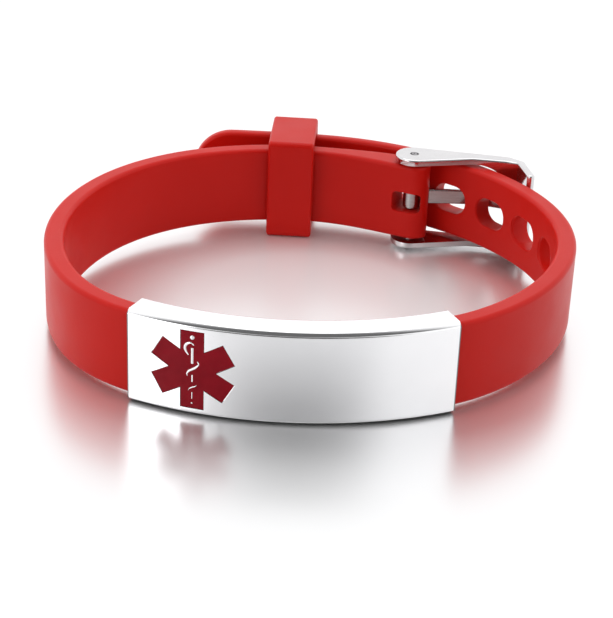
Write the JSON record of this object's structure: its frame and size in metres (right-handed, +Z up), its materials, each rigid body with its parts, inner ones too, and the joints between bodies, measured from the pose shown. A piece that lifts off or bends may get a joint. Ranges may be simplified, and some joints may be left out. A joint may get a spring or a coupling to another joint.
{
  "type": "medical alert bracelet, buckled",
  "caption": "Medical alert bracelet: red silicone strap, curved steel name plate with a red enamel six-armed star, keeper and steel pin buckle, lying on its edge.",
  "frame": {"origin": "middle of the bracelet's outline on the surface that it lies on", "axes": "+Z up, through the wrist's hollow. The name plate's face looks towards -Y and the buckle lies at +Y. +X runs to the right as the plate is seen from the front"},
  "size_m": [0.0698, 0.0685, 0.015],
  "materials": {
    "silicone": "matte",
    "plate_steel": "mirror polished",
    "enamel": "glossy",
    "buckle_steel": "polished"
  },
  "bodies": {
    "root": {"strap": "silicone", "keeper": "silicone", "id_plate": "plate_steel", "enamel_star": "enamel", "buckle_frame": "buckle_steel", "spring_bar": "buckle_steel", "tang": "buckle_steel"}
  },
  "joints": []
}
